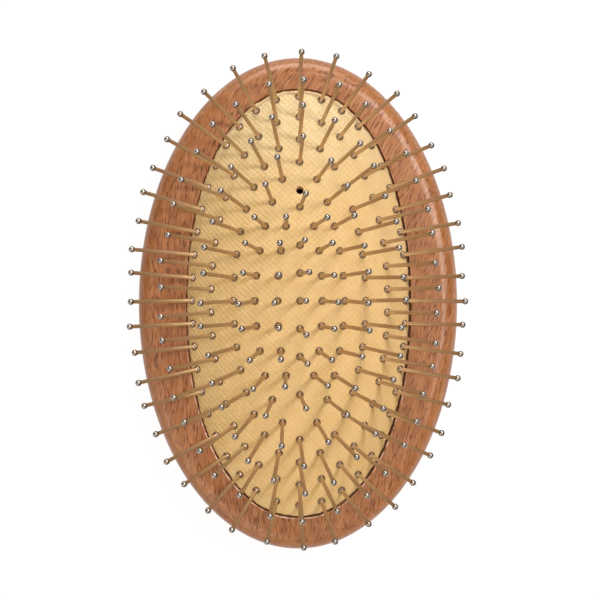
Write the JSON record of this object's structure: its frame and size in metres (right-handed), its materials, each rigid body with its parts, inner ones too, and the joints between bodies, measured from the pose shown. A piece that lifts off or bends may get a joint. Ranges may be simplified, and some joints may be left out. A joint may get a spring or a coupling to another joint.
{
  "type": "palm massage brush",
  "caption": "Oval wooden palm brush with a domed rubber air cushion set with ball-tipped steel pins that sink with the cushion as it is pressed.",
  "frame": {"origin": "middle of the wooden body's flat back", "axes": "+Z from the flat back out through the cushion's crown, +Y along the brush's length, +X across it"},
  "size_m": [0.09, 0.134, 0.0533],
  "materials": {
    "wood": "clear satin lacquer over a reddish flecked wood",
    "rubber": "pale yellow, cloth-grained",
    "steel": "polished wire"
  },
  "bodies": {
    "body": {"wood_body": "wood", "cushion_membrane": "rubber"},
    "centre": {"centre_pins": "steel"},
    "ring_1": {"ring_1_pins_01": "steel", "ring_1_pins_02": "steel", "ring_1_pins_03": "steel", "ring_1_pins_04": "steel", "ring_1_pins_05": "steel", "ring_1_pins_06": "steel", "ring_1_pins_07": "steel", "ring_1_pins_08": "steel", "ring_1_pins_09": "steel", "ring_1_pins_10": "steel", "ring_1_pins_11": "steel"},
    "ring_2_ends": {"ring_2_pins_01": "steel", "ring_2_pins_06": "steel"},
    "ring_2_sides": {"ring_2_pins_02": "steel", "ring_2_pins_03": "steel", "ring_2_pins_04": "steel", "ring_2_pins_05": "steel", "ring_2_pins_07": "steel", "ring_2_pins_08": "steel", "ring_2_pins_09": "steel", "ring_2_pins_10": "steel"},
    "ring_3_ends": {"ring_3_pins_01": "steel", "ring_3_pins_05": "steel"},
    "ring_3_sides": {"ring_3_pins_02": "steel", "ring_3_pins_03": "steel", "ring_3_pins_04": "steel", "ring_3_pins_06": "steel", "ring_3_pins_07": "steel", "ring_3_pins_08": "steel"},
    "ring_4_ends": {"ring_4_pins_01": "steel", "ring_4_pins_04": "steel"},
    "ring_4_sides": {"ring_4_pins_02": "steel", "ring_4_pins_03": "steel", "ring_4_pins_05": "steel", "ring_4_pins_06": "steel"},
    "ring_5_ends": {"ring_5_pins_01": "steel", "ring_5_pins_03": "steel"},
    "ring_5_sides": {"ring_5_pins_02": "steel", "ring_5_pins_04": "steel"}
  },
  "joints": [
    {"name": "centre_press", "type": "slide", "parent": "body", "child": "centre", "axis": [0, 0, -1], "range_m": [0, 0.004], "stiffness_N_per_m": 2500, "springref_m": -0.0004, "deforming": ["cushion_membrane"]},
    {"name": "ring_1_press", "type": "slide", "parent": "body", "child": "ring_1", "axis": [0, 0, -1], "range_m": [0, 0.000428]},
    {"name": "ring_2_ends_press", "type": "slide", "parent": "body", "child": "ring_2_ends", "axis": [0, 0, -1], "range_m": [0, 0.00138]},
    {"name": "ring_2_sides_press", "type": "slide", "parent": "body", "child": "ring_2_sides", "axis": [0, 0, -1], "range_m": [0, 0.00177]},
    {"name": "ring_3_ends_press", "type": "slide", "parent": "body", "child": "ring_3_ends", "axis": [0, 0, -1], "range_m": [0, 0.0023]},
    {"name": "ring_3_sides_press", "type": "slide", "parent": "body", "child": "ring_3_sides", "axis": [0, 0, -1], "range_m": [0, 0.0029]},
    {"name": "ring_4_ends_press", "type": "slide", "parent": "body", "child": "ring_4_ends", "axis": [0, 0, -1], "range_m": [0, 0.00308]},
    {"name": "ring_4_sides_press", "type": "slide", "parent": "body", "child": "ring_4_sides", "axis": [0, 0, -1], "range_m": [0, 0.0036]},
    {"name": "ring_5_ends_press", "type": "slide", "parent": "body", "child": "ring_5_ends", "axis": [0, 0, -1], "range_m": [0, 0.00375]},
    {"name": "ring_5_sides_press", "type": "slide", "parent": "body", "child": "ring_5_sides", "axis": [0, 0, -1], "range_m": [0, 0.00396]}
  ],
  "couplings": [
    {"joint": "ring_1_press", "follows": "centre_press", "ratio": 0.107},
    {"joint": "ring_2_ends_press", "follows": "centre_press", "ratio": 0.345},
    {"joint": "ring_2_sides_press", "follows": "centre_press", "ratio": 0.443},
    {"joint": "ring_3_ends_press", "follows": "centre_press", "ratio": 0.575},
    {"joint": "ring_3_sides_press", "follows": "centre_press", "ratio": 0.725},
    {"joint": "ring_4_ends_press", "follows": "centre_press", "ratio": 0.77},
    {"joint": "ring_4_sides_press", "follows": "centre_press", "ratio": 0.899},
    {"joint": "ring_5_ends_press", "follows": "centre_press", "ratio": 0.938},
    {"joint": "ring_5_sides_press", "follows": "centre_press", "ratio": 0.991}
  ]
}
